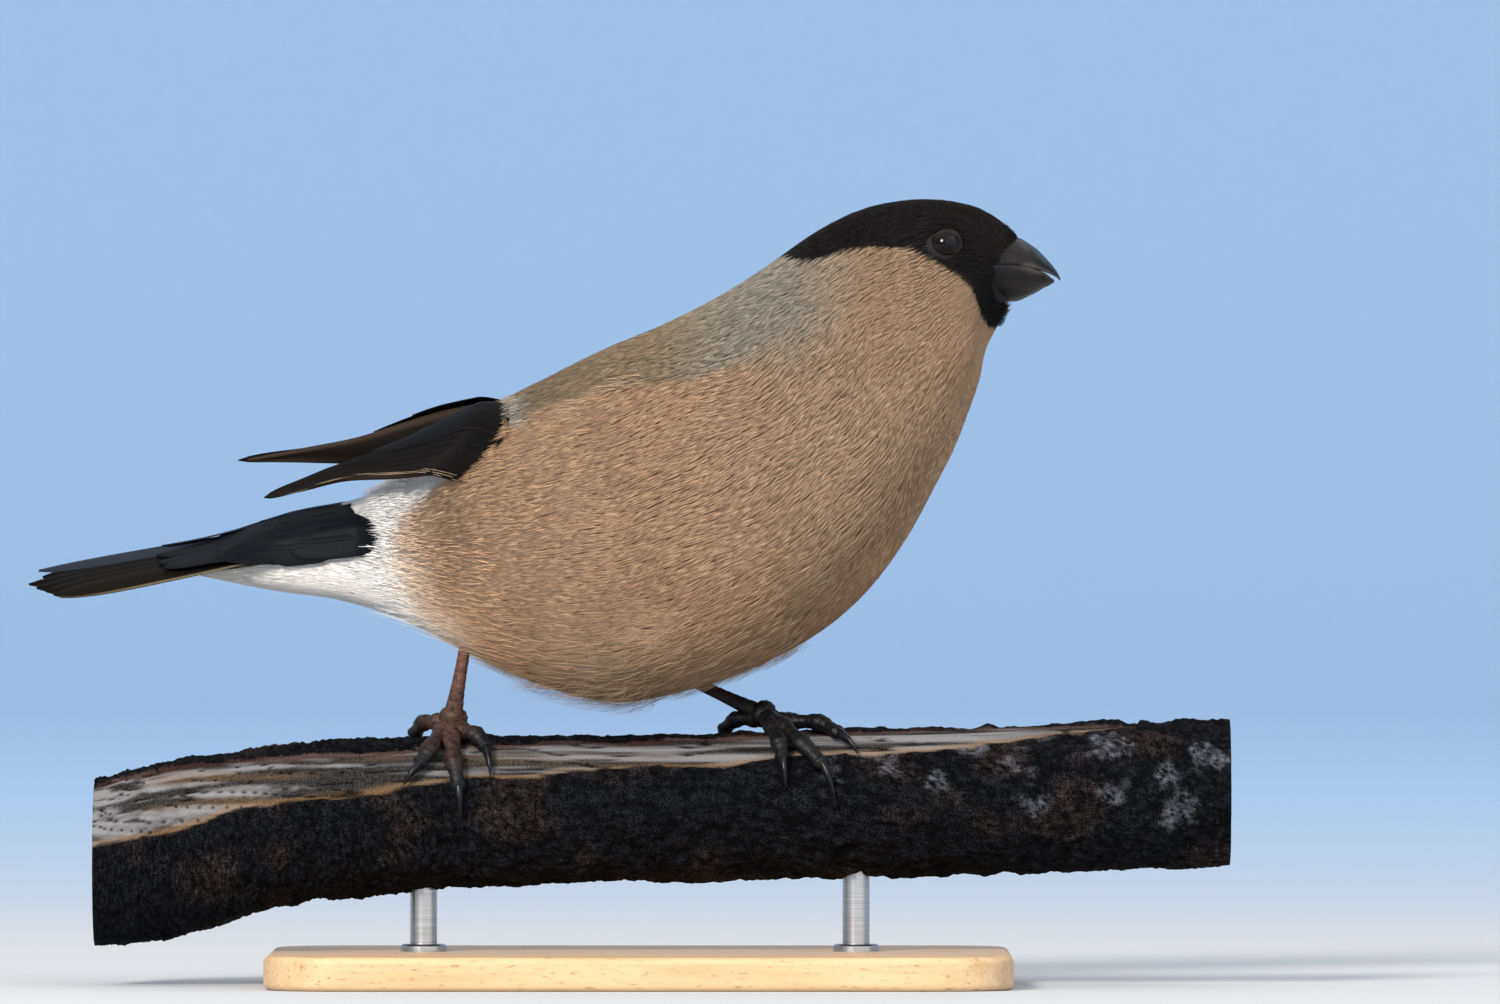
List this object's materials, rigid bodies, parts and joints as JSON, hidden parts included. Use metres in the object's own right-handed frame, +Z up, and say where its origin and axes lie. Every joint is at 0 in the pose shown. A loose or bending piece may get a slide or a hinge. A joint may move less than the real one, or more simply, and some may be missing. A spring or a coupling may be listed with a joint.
{
  "type": "female bullfinch on a perch, life-size model",
  "caption": "Still life-size model of a female Eurasian bullfinch gripping a cut length of branch, held by a plain wooden stand with short metal rods.",
  "frame": {"origin": "centre of the underside of the stand's base", "axes": "+Z up; +X the way the bird faces, along the branch; -Y the bird's right side, the side that the picture shows"},
  "size_m": [0.1772, 0.084, 0.1164],
  "materials": {
    "cap_feathers": "glossy black cap, lores and chin of fine short feathers, with a faint blue sheen",
    "body_feathers": "soft matte greyish-buff body feathers, grey-brown on the mantle and grey on the nape",
    "rump_feathers": "soft matte white feathers of the rump, vent and undertail coverts",
    "flight_feathers": "black flight feathers with a soft sheen and narrow pale outer edges",
    "tail_feathers": "black tail feathers with a blue gloss",
    "bill_horn": "dark grey-black horn, satin, with fine growth lines and a paler worn cutting edge",
    "eye": "wet, glossy, near-black brown eye",
    "leg_scales": "dark pinkish-brown scaled skin, satin",
    "claw_horn": "smooth dark horn",
    "perch_bark": "dark rough bark with lichen spots, a strip of bare weathered grey and tan wood, pale sawn ends",
    "stand_wood": "light beech, fine grain, satin",
    "stand_metal": "brushed steel rod"
  },
  "bodies": {
    "root": {"head": "cap_feathers", "neck": "body_feathers", "trunk": "body_feathers", "rump": "rump_feathers", "eye_right": "eye", "eye_left": "eye", "bill_upper": "bill_horn", "bill_lower": "bill_horn", "wing_right": "flight_feathers", "wing_left": "flight_feathers", "tail": "tail_feathers", "tarsus_right": "leg_scales", "foot_right": "leg_scales", "claw_right_hallux": "claw_horn", "claw_right_inner": "claw_horn", "claw_right_middle": "claw_horn", "claw_right_outer": "claw_horn", "tarsus_left": "leg_scales", "foot_left": "leg_scales", "claw_left_hallux": "claw_horn", "claw_left_inner": "claw_horn", "claw_left_middle": "claw_horn", "claw_left_outer": "claw_horn", "perch": "perch_bark", "stand_base": "stand_wood", "stand_rod_rear": "stand_metal", "stand_rod_front": "stand_metal"}
  },
  "joints": []
}
